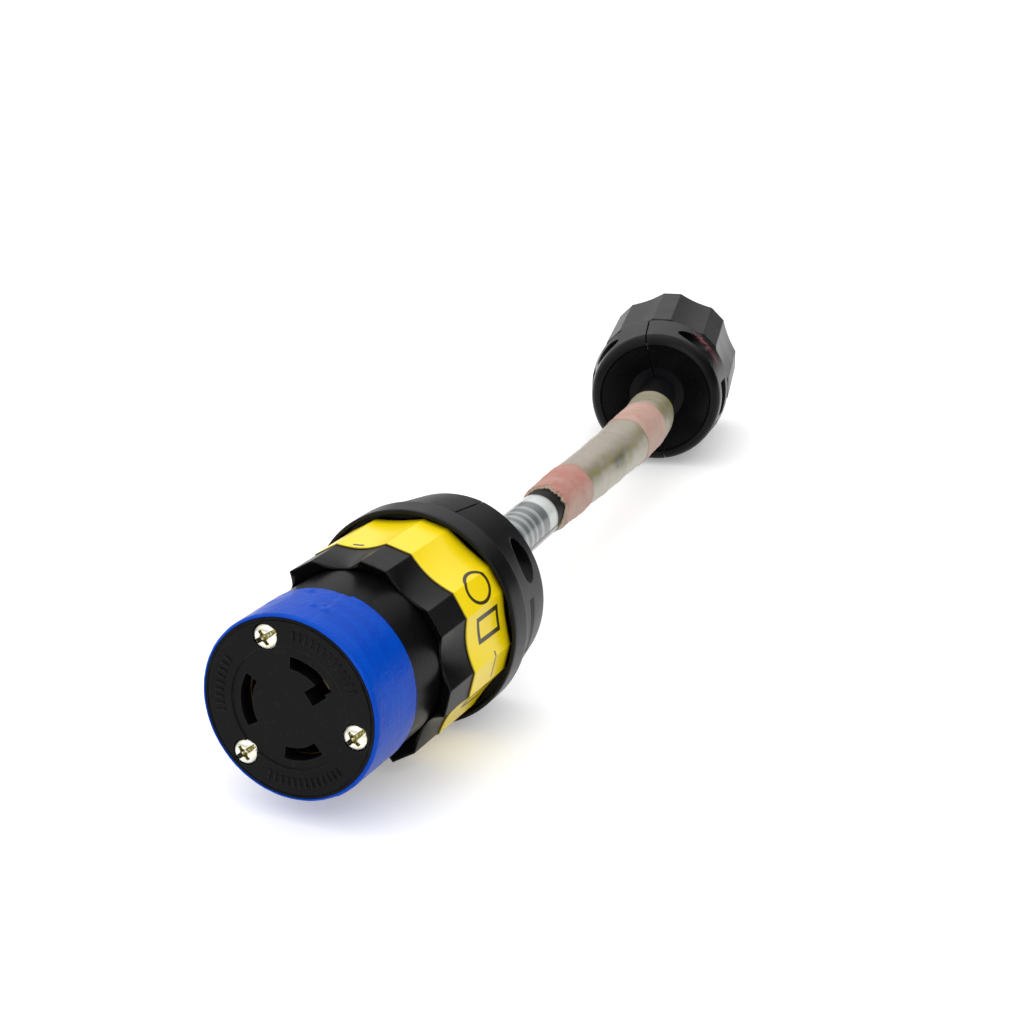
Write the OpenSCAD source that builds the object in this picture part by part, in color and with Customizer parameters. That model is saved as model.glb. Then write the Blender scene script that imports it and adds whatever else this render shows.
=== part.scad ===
/* [Connector] */
// Diameter of the contact block, which is the smooth neck of the connector
face_d = 43.6; // [43:0.1:44]
// Depth of the contact block from the mating face to its inner end
face_depth = 33; // [32:0.5:34]
// Diameter over the lands of the fluted grip
grip_d = 51; // [50.6:0.1:51.6]
// Depth of each flute at the front of the grip, where it is scooped deepest
flute_front = 2.6; // [0.8:0.1:2.6]
// Depth of each flute at the rear of the grip
flute_rear = 0.4; // [0.2:0.1:0.8]
// Distance from the mating face to the seam between the collar and the cord clamp
clamp_front = 66; // [66:0.5:68]
// Distance from the mating face to the rear of the cord clamp
clamp_rear = 84; // [84:0.5:88]
// Diameter of the collar and of the front of the cord clamp
clamp_d = 55.6; // [55:0.2:58]
// Diameter that the cord clamp tapers to at its rear
clamp_rear_d = 50.4; // [49.6:0.2:54]
// Angle of the clamp's parting plane, counterclockwise from the right, looking at the face
split_angle = 72; // [0:1:180]
// Angle of the middle of the first grip land, measured in the same way
land_angle = 31; // [0:1:44]
/* [Socket] */
// Outer radius of the ring of slots in the mating face
slot_outer = 12.4; // [12:0.1:12.6]
// Inner radius of the ring of slots
slot_inner = 9.4; // [9.2:0.1:9.6]
// Radius of the circle that the three face screws stand on
face_screw_circle = 17; // [16.8:0.1:17.2]
// Angle of the first face screw
face_screw_angle = 107.5; // [105:0.5:110]
/* [Plug] */
// Diameter over the lands of the plug's housing
plug_d = 48.6; // [48.6:0.2:52]
// Diameter of the front of the plug's cord clamp
plug_clamp_d = 48.1; // [47.4:0.1:48.1]
// Diameter that the plug's cord clamp tapers to at its rear
plug_clamp_rear_d = 45; // [44:0.2:47]
// Depth of each flute of the plug's housing
plug_flute = 0.5; // [0.2:0.1:1]
// Angle of the parting plane of the plug's clamp, looking at its blades
plug_split_angle = 80; // [0:1:180]
// How far the flat blades stand out of the mating face
blade_length = 18; // [16:0.5:19]
// How far the round ground pin stands out of the mating face
ground_length = 21; // [18:0.5:22]
// Diameter of the round ground pin
ground_d = 4.8; // [4.6:0.1:4.9]
/* [Cord] */
// Outer diameter of the cord's jacket
cord_d = 12.3; // [11:0.1:12.3]
// Diameter over the tape sleeve that is built up on the cord, at its end towards the connector
sleeve_front_d = 14.2; // [13.6:0.2:16]
// Diameter over the sleeve at its end towards the plug
sleeve_rear_d = 16.2; // [14:0.2:17]
/* [Hidden] */

$fn = 96;
fit_gap = 0.1;       // clearance between pieces that slide together
split_gap = 0.5;     // width of the parting line between two clamp halves
wrap = 0.3;          // thickness of a wrapped label or tape
over = 1;            // how far a cut runs past the face that it opens

// Screws
screw_r = 1.75;
screw_hole_r = 1.85;
face_head_r = 2.75;
head_pocket_r = 3.2;
head_pocket = 1.7;
terminal_head_r = 3;
terminal_head = 1.8;
terminal_shank = 3;
clamp_head_r = 3.2;
pan_head = 2.4;
recess_width = 0.9;
recess_depth = 1.1;
face_screw_shank = 49;
plug_screw_shank = 20.5;

// Route of the cord, from inside the connector's clamp to inside the plug's clamp
route = [[16.8, -118.8, 27.8], [16.8, -108.8, 27.8], [16.7, -98.8, 27.8], [16.2, -87.9, 27.7],
    [15.2, -75.9, 27.5], [13.7, -62, 27.1], [12.4, -49.1, 26.7], [11.3, -36.7, 26.4], [10.7, -29.6, 26.2],
    [9.9, -19.2, 26], [9.1, -8, 25.8], [8.4, 3.8, 25.5], [7.6, 16.7, 25.3], [6.6, 30.7, 25],
    [5.6, 45.2, 24.9], [4.6, 55.6, 24.8], [3.4, 66.3, 24.7], [2, 74.5, 24.4], [-0.1, 83.6, 24.3],
    [-2.9, 92.5, 24.1], [-5.6, 102.3, 24.1], [-8.3, 112.3, 24.1], [-11, 122.5, 24.1]];
JACKET_ENDS = [0, 22];
LABEL_ENDS = [2, 7];
SLEEVE_ENDS = [8, 18];
FRONT_BAND_ENDS = [8, 10];
REAR_BAND_ENDS = [14, 16];

// Fluted bodies: lands and flutes alternate round the axis
units = 8;
land_span = 15;
flute_span = 360 / units - land_span;
flute_steps = 8;
grip_front = 28.6;
grip_stations = [32.5, 35, 41, 51, 61, 64];
label_stations = [41, 51, 61];
grip_rear = 63;
undercut = 2.9;      // how far the grip's front edge leans back towards the neck
collar_front = 58.7;
collar_wall = 1;

// Places of the two ends: the connector's mating face and the middle of the plug's rear rim.
// The plug rests on the flat of one land.
connector_at = [16.8, -183.1, clamp_d / 2];
plug_rear_at = [-5.6, 102.3, plug_d / 2 * cos(land_span / 2)];
plug_slope = 0.27;
plug_length = 63;
plug_way = [-plug_slope, 1, 0] / norm([plug_slope, 1]);
plug_at = plug_rear_at + plug_length * plug_way;
connector_lead_start = route[0][1] - connector_at[1];
plug_lead_start = plug_length - norm(route[len(route) - 1] - plug_rear_at) - 0.2;

// Inside of the connector
neck_r = face_d / 2;
chamber_r = 20.4;
retainer_thick = 4;
lip_front = 58;
lip_r = 17;
hook = 2.4;
boss_r = 3.9;
boss_end = 54;
rim_round = 0.9;
centre_step_r = 14.6;
centre_step = 0.4;
rim_groove_r = 20.4;
rim_groove = 0.35;
contact_room = 0.4;
tape_rear = 17.7;
slot_depth = 4;
contact_wall = 1;
tail_r = 10;
tail_thick = 1.6;
tail_end = 48;
contact_tail = 7;
terminal_s = 43;
clamp_screw_x = 18.9;
clamp_screw_s = 75.6;
clamp_screw_end = 12;
clamp_pocket_r = 4;
clamp_seat = 9.5;
clamp_shoulder = 1.5;
clamp_closing = 0.7;
saddle_depth = 14;
dish_depth = 6;

// Angles of the contacts, from the clockwise end to the counterclockwise end of each slot
NEUTRAL_SPAN = [148, 210];
HOT_SPAN = [262, 310];
GROUND_SPAN = [28, 87];
SPANS = [NEUTRAL_SPAN, HOT_SPAN, GROUND_SPAN];

// Inside of the plug
plug_clamp_front = 45;
plug_socket_r = 21.4;
plug_block = 12;
plug_shoulder = 2;
plug_retainer_thick = 3;
plug_chamber_r = 20;
plug_boss_r = 4;
plug_boss_end = 24;
plug_lip_front = 38;
plug_lip_r = 14.5;
plug_tail_end = 25;
plug_terminal_s = 21;
plug_screw_circle = 16.3;
plug_clamp_screw_x = 16.5;
plug_clamp_screw_s = 54;
plug_groove = 0.8;
plug_clamp_shoulder = 4;
plug_head_pocket = 2.5;
blade_shoulder = 4.9;
blade_chamfer = 1.2;
blade_tip = 2;
flange_r = 3.6;
pin_round = 1.6;
pin_shank_r = 3;
blade_x = 6.35;
blade_y = 3.2;
ground_y = -8.7;
blade_thick = 1.5;
blade_hole_r = 1.6;
hot_width = 6.4;
neutral_width = 7.9;
tail_width = 6;
lead_r = 1.6;

function unit(v) = v / norm(v);
function on_circle(r, a) = [r * cos(a), r * sin(a)];
function arc(x, y, r, from, to, steps = 6) =
    [for (i = [0 : steps]) [x, y] + on_circle(r, from + (to - from) * i / steps)];
function middle(span) = (span[0] + span[1]) / 2;

// Each end is modelled in its own frame: the mating face at height 0, looking up, and the body below.
// A station s is a distance back from the mating face, so it lies at height -s.
module at_connector() translate(connector_at) rotate([90, 0, 0]) children();
module at_plug() translate(plug_at) rotate([90, 0, 180 + atan(plug_slope)]) children();

module band(r_in, r_out, s0, s1, from = 0, span = 360)
    rotate([0, 0, from]) rotate_extrude(angle = span)
        translate([r_in, -s1]) square([r_out - r_in, s1 - s0]);

module rod(r, s0, s1) translate([0, 0, -s1]) cylinder(r = r, h = s1 - s0);

// Skins over a list of equal rings, as a solid or as a shell between two lists
function skin_faces(n, m, first = 0) = [for (j = [0 : m - 2], i = [0 : n - 1])
    let (k = (i + 1) % n, p = first + j * n)
    each [[p + i, p + k, p + n + k], [p + i, p + n + k, p + n + i]]];
function flipped(faces) = [for (f = faces) [for (i = [len(f) - 1 : -1 : 0]) f[i]]];

module skin_solid(rings) {
    n = len(rings[0]);
    m = len(rings);
    polyhedron(
        points = [for (ring = rings) each ring],
        faces = concat([[for (i = [n - 1 : -1 : 0]) i]], skin_faces(n, m),
            [[for (i = [0 : n - 1]) (m - 1) * n + i]]),
        convexity = 6);
}

module skin_shell(outer, inner) {
    n = len(outer[0]);
    m = len(outer);
    in = n * m;
    last = n * (m - 1);
    rims = [for (i = [0 : n - 1]) let (k = (i + 1) % n) each
        [[k, i, in + i, in + k], [last + i, last + k, in + last + k, in + last + i]]];
    polyhedron(
        points = concat([for (ring = outer) each ring], [for (ring = inner) each ring]),
        faces = concat(skin_faces(n, m), flipped(skin_faces(n, m, in)), rims),
        convexity = 6);
}

// A ring of a fluted body. A land is flat across, and a flute is a scoop under the chord between two lands.
function flute_r(r, a, depth) =
    r * cos(flute_span / 2) / cos(a - flute_span / 2) - depth * (1 - pow(2 * a / flute_span - 1, 2));
function fluted_ring(r, depth, land_middle, s) = [for (u = [0 : units - 1], i = [0 : flute_steps])
    let (a = i == 0 ? 0 : land_span + (i - 1) * flute_span / flute_steps,
         rr = i == 0 ? r : flute_r(r, a - land_span, depth))
    [each on_circle(rr, land_middle - land_span / 2 + u * 360 / units + a), -s]];
function grip_flute(s) =
    flute_rear + (flute_front - flute_rear) * pow(max(grip_rear - s, 0) / (grip_rear - grip_front), 2.5);
function grip_rings(r, stations) = [for (s = stations) fluted_ring(r, grip_flute(s), land_angle, s)];

// The grip's front edge leans back from the lands towards the neck
function leaning(p) = let (r = norm([p[0], p[1]]))
    [p[0], p[1], -grip_front - undercut * (grip_d / 2 - r) / (grip_d / 2 - neck_r)];
function grip_front_rings() =
    let (ring = fluted_ring(grip_d / 2, grip_flute(grip_front + undercut), land_angle, 0))
    [for (shrink = [true, false]) [for (p = ring) leaning(shrink ? unit(p) * (neck_r - 0.5) : p)]];

// Tubes swept along a list of points
function way(points, i) = unit(points[min(i + 1, len(points) - 1)] - points[max(i - 1, 0)]);
function tube_ring(p, t, r, up, sides) = let (u = unit(cross(t, up)), v = cross(u, t))
    [for (k = [0 : sides - 1]) p + r * (cos(360 * k / sides) * u + sin(360 * k / sides) * v)];

module lead(points) skin_solid([for (i = [0 : len(points) - 1])
    tube_ring(points[i], way(points, i), lead_r, [0.3, 1, 0.1], 8)]);

// A pan head screw with a crossed recess: the head's seat is at height 0 and the shank hangs below
module pan_screw(head_r, head_h, shank) {
    crown = head_h * 0.7;
    difference() {
        rotate_extrude() polygon(concat(
            [[0, -shank], [screw_r - 0.6, -shank], [screw_r, -shank + 1], [screw_r, 0], [head_r, 0]],
            arc(head_r - crown, head_h - crown, crown, 0, 60), [[0, head_h]]));
        for (turn = [0, 90]) rotate([0, 0, turn])
            translate([-head_r * 0.55, -recess_width / 2, head_h - recess_depth])
                cube([head_r * 1.1, recess_width, recess_depth + over]);
    }
}

module three_places(r, from)
    for (i = [0 : 2]) rotate([0, 0, from + 120 * i]) translate([r, 0, 0]) children();
module connector_screw_places() three_places(face_screw_circle, face_screw_angle) children();
module plug_screw_places() three_places(plug_screw_circle, 90) children();

// Connector: the block that carries the mating face and holds the contacts
module connector_face() color("#2a2a2c") at_connector() difference() {
    rotate_extrude() polygon(concat([[0, -centre_step], [centre_step_r, -centre_step], [centre_step_r, 0],
        [rim_groove_r, 0], [rim_groove_r, -rim_groove], [neck_r - rim_round, -rim_groove]],
        arc(neck_r - rim_round, -rim_round, rim_round, 90, 0, 3), [[neck_r, -face_depth], [0, -face_depth]]));
    for (span = SPANS) {
        band(slot_inner, slot_outer, -over, slot_depth + over, span[0], span[1] - span[0]);
        band(slot_inner - contact_wall - contact_room, slot_outer + contact_wall + contact_room, slot_depth,
            face_depth + over, span[0] - 3, span[1] - span[0] + 6);
    }
    rotate([0, 0, GROUND_SPAN[0] + 8]) translate([5.8, -2.2, -10]) cube([slot_inner - 5, 3.6, 12]);
    connector_screw_places() {
        rod(screw_hole_r, -over, face_depth + over);
        rod(head_pocket_r, -over, head_pocket);
    }
}

// A contact: two sprung walls that grip a curved blade, joined at the back, with a tail for the screw
module contact(span) difference() {
    union() {
        difference() {
            band(slot_inner - contact_wall, slot_outer + contact_wall, slot_depth + 1, face_depth,
                span[0], span[1] - span[0]);
            band(slot_inner, slot_outer, slot_depth, face_depth - 2, span[0] - 1, span[1] - span[0] + 2);
        }
        rotate([0, 0, middle(span)]) translate([tail_r, -contact_tail / 2, -tail_end])
            cube([tail_thick, contact_tail, tail_end - face_depth + 1]);
    }
    rotate([0, 0, middle(span)]) translate([0, 0, -terminal_s]) rotate([0, 90, 0])
        cylinder(r = screw_hole_r, h = 2 * tail_r);
}

module connector_contact_hot() color("#c9a24b") at_connector() contact(HOT_SPAN);
module connector_contact_neutral() color("#c9a24b") at_connector() contact(NEUTRAL_SPAN);
module connector_contact_ground() color("#c9a24b") at_connector() contact(GROUND_SPAN);

// The plate behind the contact block, which keeps the contacts in
module connector_retainer() color("#3a3a3c") at_connector() difference() {
    rod(chamber_r - fit_gap, face_depth, face_depth + retainer_thick);
    for (span = SPANS) rotate([0, 0, middle(span)])
        translate([tail_r - 0.2, -contact_tail / 2 - 0.2, -face_depth - retainer_thick - over])
            cube([tail_thick + 0.4, contact_tail + 0.4, retainer_thick + 2 * over]);
    connector_screw_places() rod(screw_hole_r, face_depth - over, face_depth + retainer_thick + over);
}

// A terminal screw through a contact's tail, its head outwards
module terminal(span) rotate([0, 0, middle(span)]) translate([tail_r + tail_thick, 0, -terminal_s])
    rotate([0, 90, 0]) pan_screw(terminal_head_r, terminal_head, terminal_shank);

module connector_terminal_brass() color("#c9a24b") at_connector() terminal(HOT_SPAN);
module connector_terminal_nickel() color("#c8c8c8") at_connector() terminal(NEUTRAL_SPAN);
module connector_terminal_green() color("#3c8a4a") at_connector() terminal(GROUND_SPAN);

module face_screws() color("#d8d2b8") at_connector() connector_screw_places()
    translate([0, 0, -head_pocket]) pan_screw(face_head_r, pan_head, face_screw_shank);

// Blue tape wound round the front of the neck and pressed over its rounded rim
module blue_tape() color("#1560d0") at_connector() rotate_extrude() polygon(concat(
    arc(neck_r - rim_round, -rim_round, rim_round + wrap, 60, 0, 2),
    [[neck_r + wrap, -tape_rear], [neck_r, -tape_rear]],
    arc(neck_r - rim_round, -rim_round, rim_round, 0, 60, 2)));

// The fluted grip shell, with its leaning front edge, the collar that overhangs its rear and the
// bosses for the face screws
module connector_grip() color("#262628") at_connector() difference() {
    union() {
        skin_solid(concat(grip_front_rings(), grip_rings(grip_d / 2, grip_stations)));
        rotate_extrude() polygon(concat([[0, -grip_rear], [clamp_d / 2 - collar_wall, -grip_rear]],
            arc(clamp_d / 2 - collar_wall / 2, -collar_front - collar_wall / 2, collar_wall / 2, 180, 0),
            [[clamp_d / 2, -clamp_front], [0, -clamp_front]]));
    }
    rod(neck_r + fit_gap, grip_front - over, face_depth);
    difference() {
        rod(chamber_r, face_depth - over, lip_front);
        connector_screw_places() rod(boss_r, face_depth + retainer_thick, boss_end);
    }
    rod(lip_r, lip_front - over, clamp_front + over);
    connector_screw_places() rod(screw_hole_r, face_depth, boss_end + over);
    rotate([0, 0, split_angle]) translate([clamp_d / 2 - 1, -0.8, -clamp_front - over])
        cube([2, 1.8, over + 0.6]);
}

// The label band wrapped round the rear of the grip
module grip_label() color("#f0e010") at_connector()
    skin_shell(grip_rings(grip_d / 2 + wrap, label_stations), grip_rings(grip_d / 2, label_stations));

// One half of a cord clamp. Its hub hooks behind the lip of the shell, and its saddle holds the cord.
// side is 1 for the half with the screw heads and -1 for the half that the screws bite into.
// screw_end is how deep the screw holes go into that second half. closing is how far each half has
// come in on the cord, which leaves the tightened clamp slightly oval.
module clamp_half(side, front_r, rear_r, hub_r, s_hook, s_ring, s_rear, shoulder, screw_x, screw_s, screw_end,
        groove = 0, closing = 0) {
    saddle = s_rear - saddle_depth;
    dish = s_rear - dish_depth;
    dish_r = rear_r - max(shoulder, 3);
    difference() {
        union() {
            translate([0, side * closing, 0]) rotate_extrude() polygon(concat(
                [[0, -s_ring], [front_r - groove, -s_ring]],
                groove > 0 ? [[front_r - groove, -s_ring - 1.2], [front_r, -s_ring - 1.2]] : [],
                arc(rear_r - shoulder, -s_rear + shoulder, shoulder, 0, -90), [[0, -s_rear]]));
            rod(hub_r, s_hook, s_ring + over);
            rod(hub_r + hook, s_hook, s_hook + hook);
        }
        rod(hub_r - 4, s_hook - over, saddle);
        rod(cord_d / 2 + 0.05, saddle - over, dish + over);
        for (s = [saddle + 1.5, saddle + 4.9]) rod(cord_d / 2 + 0.8, s, s + 1.6);
        rotate_extrude() polygon([[0, -dish], [9.5, -dish], [dish_r, -s_rear + 1], [dish_r + 0.8, -s_rear],
            [dish_r + 0.8, -s_rear - over], [0, -s_rear - over]]);
        for (x = [-screw_x, screw_x]) translate([x, 0, -screw_s]) rotate([90, 0, 0]) {
            translate([0, 0, -screw_end]) cylinder(r = screw_hole_r, h = screw_end + front_r);
            translate([0, 0, clamp_seat]) cylinder(r = clamp_pocket_r, h = front_r);
            if (screw_end > front_r) translate([0, 0, -clamp_seat - front_r])
                cylinder(r = clamp_pocket_r, h = front_r);
        }
        for (turn = [0, 180]) band(front_r - 2, front_r + over, s_ring + 5, s_ring + 12, turn - 93, 31);
        translate([-2 * front_r, side > 0 ? -split_gap / 2 : split_gap / 2 - 3 * front_r, -s_rear - over])
            cube([4 * front_r, 3 * front_r, s_rear - s_hook + 2 * over]);
    }
}

module connector_clamp_half(side) color("#2a2a2c") at_connector() rotate([0, 0, split_angle])
    clamp_half(side, clamp_d / 2, clamp_rear_d / 2, lip_r - fit_gap, lip_front - hook, clamp_front,
        clamp_rear, clamp_shoulder, clamp_screw_x, clamp_screw_s, clamp_screw_end, closing = clamp_closing);
module connector_clamp_right() connector_clamp_half(1);
module connector_clamp_left() connector_clamp_half(-1);

module clamp_screws(screw_x, screw_s) for (x = [-screw_x, screw_x])
    translate([x, -clamp_seat, -screw_s]) rotate([90, 0, 0])
        pan_screw(clamp_head_r, pan_head, 2 * clamp_seat - 0.5);

module connector_clamp_screws() color("#c8c8c0") at_connector() rotate([0, 0, split_angle])
    clamp_screws(clamp_screw_x, clamp_screw_s);

// The rubber ring that closes the gap round the cord
module cord_seal(r, saddle) band(cord_d / 2 + 0.05, r, saddle - 4, saddle);
module connector_cord_seal() color("#404040") at_connector()
    cord_seal(lip_r - fit_gap - 4, clamp_rear - saddle_depth);

// An insulated lead from the end of the jacket to a contact's tail
module connector_lead(span) lead([for (p = [[2.9, connector_lead_start], [2.9, 60], [5, 55], [7.6, 50],
    [8.3, 47.5], [8.3, terminal_s + 2.2]]) [each on_circle(p[0], middle(span)), -p[1]]]);

module connector_lead_black() color("#1a1a1a") at_connector() connector_lead(HOT_SPAN);
module connector_lead_white() color("#e8e8e4") at_connector() connector_lead(NEUTRAL_SPAN);
module connector_lead_green() color("#2f7d3c") at_connector() connector_lead(GROUND_SPAN);

// Cord
// A wrap between two lists of radii, one for each route point from the first to the last
module cord_wrap(inner, outer, ends) skin_shell(wrap_rings(outer, ends), wrap_rings(inner, ends));
function wrap_rings(radii, ends) = [for (i = [ends[0] : ends[1]])
    tube_ring(route[i], way(route, i), radii[i - ends[0]], [0, 0, 1], 12)];
function all_of(r, ends) = [for (i = [ends[0] : ends[1]]) r];
function sleeve_growth(i) = min(1, (i - SLEEVE_ENDS[0]) / (REAR_BAND_ENDS[0] - SLEEVE_ENDS[0]));
function sleeve_radii(ends, extra = 0) = [for (i = [ends[0] : ends[1]])
    extra + (sleeve_front_d + (sleeve_rear_d - sleeve_front_d) * sleeve_growth(i)) / 2];

module cord_jacket() color("#1c1c1e") skin_solid(wrap_rings(all_of(cord_d / 2, JACKET_ENDS), JACKET_ENDS));
module cord_label() color("#f2f2f2")
    cord_wrap(all_of(cord_d / 2, LABEL_ENDS), all_of(cord_d / 2 + wrap, LABEL_ENDS), LABEL_ENDS);
module tape_sleeve() color("#b9b2a2")
    cord_wrap(all_of(cord_d / 2, SLEEVE_ENDS), sleeve_radii(SLEEVE_ENDS), SLEEVE_ENDS);
module pink_band(ends) cord_wrap(sleeve_radii(ends), sleeve_radii(ends, wrap), ends);
module pink_band_front() color("#d99a92") pink_band(FRONT_BAND_ENDS);
module pink_band_rear() color("#d99a92") pink_band(REAR_BAND_ENDS);

// Plug: the block that the blades stand in
module plug_face() color("#2a2a2c") at_plug() difference() {
    rotate_extrude() polygon(concat([[0, 0]], arc(plug_socket_r - 1.1, -1, 1, 90, 0),
        [[plug_socket_r - fit_gap, -plug_block], [0, -plug_block]]));
    for (side = [-1, 1]) {
        width = side < 0 ? hot_width : neutral_width;
        translate([side * blade_x, blade_y, -plug_block / 2])
            cube([blade_thick + 2 * fit_gap, width + 2 * fit_gap, plug_block + 2 * over], center = true);
    }
    translate([0, ground_y, 0]) rod(pin_shank_r + fit_gap, -over, plug_block + over);
    plug_screw_places() {
        rod(screw_hole_r, -over, plug_block + over);
        rod(head_pocket_r, -over, plug_head_pocket);
    }
}

// A flat blade: a chamfered tip with a hole, a shoulder behind the block and a tail for the screw
module blade(side, width) {
    hw = width / 2;
    tail = tail_width / 2;
    flange = -plug_block - plug_shoulder;
    half = [[hw - blade_chamfer, blade_length], [hw, blade_length - blade_tip], [hw, -plug_block],
        [blade_shoulder, -plug_block], [blade_shoulder, flange], [tail, flange], [tail, -plug_tail_end]];
    difference() {
        translate([side * blade_x - blade_thick / 2, blade_y, 0]) rotate([90, 0, 90])
            linear_extrude(height = blade_thick) polygon(concat(half, [for (i = [len(half) - 1 : -1 : 0])
                [-half[i][0], half[i][1]]]));
        for (h = [blade_length * 0.65, -plug_terminal_s]) translate([0, blade_y, h]) rotate([0, side * 90, 0])
            cylinder(r = h > 0 ? blade_hole_r : screw_hole_r, h = 10);
    }
}

module plug_blade_hot() color("#d0b070") at_plug() blade(-1, hot_width);
module plug_blade_neutral() color("#cfcabf") at_plug() blade(1, neutral_width);

// The round ground pin, with a thicker shank in the block, a flange behind it and a flat tail
module plug_ground_pin() color("#d0b070") at_plug() translate([0, ground_y, 0]) difference() {
    flange = -plug_block - plug_shoulder;
    union() {
        rotate_extrude() polygon(concat([[0, flange], [flange_r, flange], [flange_r, -plug_block],
            [pin_shank_r, -plug_block], [pin_shank_r, 0], [ground_d / 2, 0]],
            arc(ground_d / 2 - pin_round, ground_length - pin_round, pin_round, 0, 90),
            [[0, ground_length]]));
        translate([-tail_width / 2, -tail_thick / 2, -plug_tail_end])
            cube([tail_width, tail_thick, plug_tail_end - plug_block - 1]);
    }
    translate([0, 0, -plug_terminal_s]) rotate([90, 0, 0]) cylinder(r = screw_hole_r, h = 10, center = true);
}

module plug_retainer() color("#3a3a3c") at_plug() difference() {
    s0 = plug_block + plug_shoulder;
    rod(plug_chamber_r - fit_gap, s0, s0 + plug_retainer_thick);
    for (side = [-1, 1])
        translate([side * blade_x - 0.85, blade_y - tail_width / 2 - 0.1, -s0 - plug_retainer_thick - over])
            cube([1.7, tail_width + 0.2, plug_retainer_thick + 2 * over]);
    translate([-tail_width / 2 - 0.1, ground_y - 0.9, -s0 - plug_retainer_thick - over])
        cube([tail_width + 0.2, 1.8, plug_retainer_thick + 2 * over]);
    plug_screw_places() rod(screw_hole_r, s0 - over, s0 + plug_retainer_thick + over);
}

module blade_terminal(side) translate([side * (blade_x + blade_thick / 2), blade_y, -plug_terminal_s])
    rotate([0, side * 90, 0]) pan_screw(terminal_head_r, terminal_head, terminal_shank);

module plug_terminal_brass() color("#c9a24b") at_plug() blade_terminal(-1);
module plug_terminal_nickel() color("#c8c8c8") at_plug() blade_terminal(1);
module plug_terminal_green() color("#3c8a4a") at_plug()
    translate([0, ground_y - tail_thick / 2, -plug_terminal_s]) rotate([90, 0, 0])
        pan_screw(terminal_head_r, terminal_head, terminal_shank);

module plug_face_screws() color("#d8d2b8") at_plug() plug_screw_places()
    translate([0, 0, -plug_head_pocket]) pan_screw(face_head_r, pan_head, plug_screw_shank);

// The plug's fluted housing, which takes the block at its front and the clamp's hub at its rear
module plug_housing() color("#262628") at_plug() difference() {
    skin_solid([for (p = [[0.9, 1.2], [0, 2.4], [0, plug_clamp_front]])
        fluted_ring(plug_d / 2 - p[0], plug_flute, 0, p[1])]);
    rod(plug_socket_r, -over, plug_block);
    difference() {
        rod(plug_chamber_r, plug_block - over, plug_lip_front);
        plug_screw_places() rod(plug_boss_r, plug_block + plug_shoulder + plug_retainer_thick, plug_boss_end);
    }
    rod(plug_lip_r, plug_lip_front - over, plug_clamp_front + over);
    plug_screw_places() rod(screw_hole_r, plug_block, plug_boss_end + over);
}

module plug_clamp_half(side) color("#2a2a2c") at_plug() rotate([0, 0, plug_split_angle])
    clamp_half(side, plug_clamp_d / 2, plug_clamp_rear_d / 2, plug_lip_r - fit_gap, plug_lip_front - hook,
        plug_clamp_front, plug_length, plug_clamp_shoulder, plug_clamp_screw_x, plug_clamp_screw_s,
        plug_clamp_d, plug_groove);
module plug_clamp_right() plug_clamp_half(1);
module plug_clamp_left() plug_clamp_half(-1);

module plug_clamp_screws() color("#c8c8c0") at_plug() rotate([0, 0, plug_split_angle])
    clamp_screws(plug_clamp_screw_x, plug_clamp_screw_s);

module plug_cord_seal() color("#404040") at_plug()
    cord_seal(plug_lip_r - fit_gap - 4, plug_length - saddle_depth);

module plug_lead(side) lead([[side * 2.6, 1.2, -plug_lead_start], [side * 2.6, 1.2, -37],
    [side * 3.6, 2.6, -30], [side * 3.9, blade_y, -26], [side * 3.9, blade_y, -plug_terminal_s - 2.2]]);
module plug_lead_black() color("#1a1a1a") at_plug() plug_lead(-1);
module plug_lead_white() color("#e8e8e4") at_plug() plug_lead(1);
module plug_lead_green() color("#2f7d3c") at_plug() lead([[0, -2.9, -plug_lead_start], [0, -2.9, -37],
    [0, -4.6, -30], [0, ground_y + 2.5, -26], [0, ground_y + 2.5, -plug_terminal_s - 2.2]]);

connector_face();
connector_contact_hot();
connector_contact_neutral();
connector_contact_ground();
connector_retainer();
connector_terminal_brass();
connector_terminal_nickel();
connector_terminal_green();
face_screws();
blue_tape();
connector_grip();
grip_label();
connector_clamp_right();
connector_clamp_left();
connector_clamp_screws();
connector_cord_seal();
connector_lead_black();
connector_lead_white();
connector_lead_green();
cord_jacket();
cord_label();
tape_sleeve();
pink_band_front();
pink_band_rear();
plug_face();
plug_blade_hot();
plug_blade_neutral();
plug_ground_pin();
plug_retainer();
plug_terminal_brass();
plug_terminal_nickel();
plug_terminal_green();
plug_face_screws();
plug_housing();
plug_clamp_right();
plug_clamp_left();
plug_clamp_screws();
plug_cord_seal();
plug_lead_black();
plug_lead_white();
plug_lead_green();
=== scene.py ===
from math import atan, cos, exp, hypot, pi, radians, sin, sqrt

import bpy
import bmesh
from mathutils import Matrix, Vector, noise


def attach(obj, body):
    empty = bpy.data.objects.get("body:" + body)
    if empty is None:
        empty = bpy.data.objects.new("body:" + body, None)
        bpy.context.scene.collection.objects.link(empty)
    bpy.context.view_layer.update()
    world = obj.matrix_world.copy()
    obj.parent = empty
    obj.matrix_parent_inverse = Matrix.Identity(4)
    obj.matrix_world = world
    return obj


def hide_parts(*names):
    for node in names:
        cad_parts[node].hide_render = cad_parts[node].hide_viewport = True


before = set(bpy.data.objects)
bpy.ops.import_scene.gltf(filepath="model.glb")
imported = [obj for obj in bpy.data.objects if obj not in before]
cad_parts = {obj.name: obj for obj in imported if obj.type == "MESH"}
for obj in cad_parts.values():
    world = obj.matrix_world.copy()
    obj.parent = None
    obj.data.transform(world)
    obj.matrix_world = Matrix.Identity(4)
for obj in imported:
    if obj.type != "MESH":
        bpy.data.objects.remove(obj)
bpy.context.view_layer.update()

MM = 0.001
TURN = 2 * pi

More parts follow.
